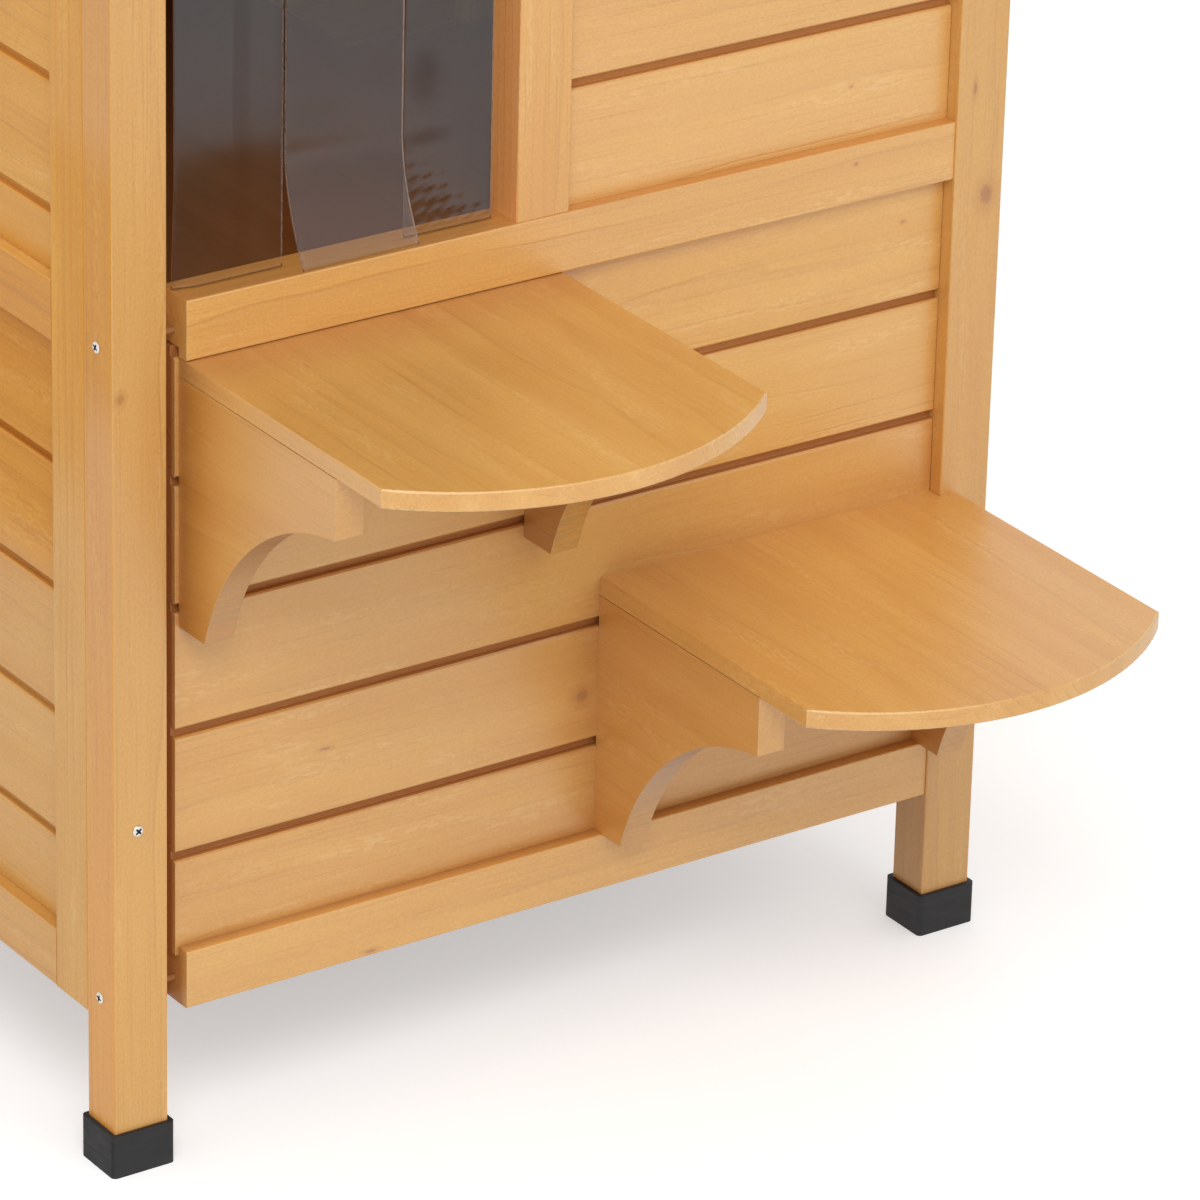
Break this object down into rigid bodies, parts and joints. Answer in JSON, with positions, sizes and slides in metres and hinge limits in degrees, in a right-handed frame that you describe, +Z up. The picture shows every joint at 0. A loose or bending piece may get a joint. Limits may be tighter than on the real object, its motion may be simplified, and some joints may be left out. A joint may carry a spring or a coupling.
{
  "type": "outdoor cat house",
  "caption": "Two-storey timber outdoor cat house with grooved board walls, a strip-curtain doorway, bracketed round-front steps, rubber-capped legs and a hinged felt roof.",
  "frame": {"origin": "on the ground, under the middle of the object's outline", "axes": "+X along the front from left to right, +Y from the front to the back, +Z up"},
  "size_m": [0.741, 0.9085, 1.0293],
  "materials": {
    "frame_wood": "satin clear-oiled pine",
    "board_wood": "satin clear-oiled pine boards",
    "step_wood": "satin clear-oiled glued pine",
    "panel_wood": "plain panel",
    "foot_rubber": "matte",
    "strip_pvc": "clear smoky, glossy",
    "screw_steel": "zinc plated",
    "hinge_steel": "zinc plated",
    "rod_steel": "satin",
    "roof_felt": "mineral roofing felt"
  },
  "bodies": {
    "cabin": {"leg_front_left": "frame_wood", "leg_front_right": "frame_wood", "leg_rear_left": "frame_wood", "leg_rear_right": "frame_wood", "foot_cap_front_left": "foot_rubber", "foot_cap_front_right": "foot_rubber", "foot_cap_rear_left": "foot_rubber", "foot_cap_rear_right": "foot_rubber", "front_bottom_rail": "frame_wood", "front_mid_rail": "frame_wood", "front_top_rail": "frame_wood", "curtain_post": "frame_wood", "gap_filler": "frame_wood", "front_lower_boards": "board_wood", "front_upper_boards": "board_wood", "left_front_stile": "frame_wood", "left_rear_stile": "frame_wood", "left_bottom_rail": "frame_wood", "left_mid_rail": "frame_wood", "left_top_rail": "frame_wood", "left_lower_boards": "board_wood", "left_upper_boards": "board_wood", "right_front_stile": "frame_wood", "right_rear_stile": "frame_wood", "right_bottom_rail": "frame_wood", "right_mid_rail": "frame_wood", "right_top_rail": "frame_wood", "right_lower_boards": "board_wood", "right_upper_boards": "board_wood", "rear_bottom_rail": "frame_wood", "rear_mid_rail": "frame_wood", "rear_top_rail": "frame_wood", "rear_lower_boards": "board_wood", "rear_upper_boards": "board_wood", "floor_cleats": "frame_wood", "lower_floor": "panel_wood", "upper_floor": "panel_wood", "upper_step_board": "step_wood", "lower_step_board": "step_wood", "upper_step_left_bracket": "frame_wood", "upper_step_right_bracket": "frame_wood", "lower_step_left_bracket": "frame_wood", "lower_step_right_bracket": "frame_wood", "rail_screws": "screw_steel", "stile_screws": "screw_steel", "bracket_screws": "screw_steel", "curtain_rod": "rod_steel", "hinge_wall_leaves": "hinge_steel", "hinge_pins": "hinge_steel", "hinge_wall_screws": "screw_steel"},
    "roof": {"roof_deck": "panel_wood", "roof_felt": "roof_felt", "roof_fascias": "frame_wood", "roof_battens": "frame_wood", "hinge_roof_leaves": "hinge_steel", "hinge_roof_screws": "screw_steel"},
    "curtain_strip_left": {"left_strip": "strip_pvc"},
    "curtain_strip_middle": {"middle_strip": "strip_pvc"},
    "curtain_strip_right": {"right_strip": "strip_pvc"}
  },
  "joints": [
    {"name": "roof_hinge", "type": "hinge", "parent": "cabin", "child": "roof", "pos_m": [0, 0.4145, 0.95175], "axis": [-1, 0, 0], "range_deg": [0, 80]},
    {"name": "left_swing", "type": "hinge", "parent": "cabin", "child": "curtain_strip_left", "pos_m": [-0.238, -0.17125, 0.956], "axis": [1, 0, 0], "range_deg": [-75, 75]},
    {"name": "middle_swing", "type": "hinge", "parent": "cabin", "child": "curtain_strip_middle", "pos_m": [-0.158, -0.17125, 0.956], "axis": [1, 0, 0], "range_deg": [-75, 75]},
    {"name": "right_swing", "type": "hinge", "parent": "cabin", "child": "curtain_strip_right", "pos_m": [-0.083, -0.17125, 0.956], "axis": [1, 0, 0], "range_deg": [-75, 75]}
  ]
}
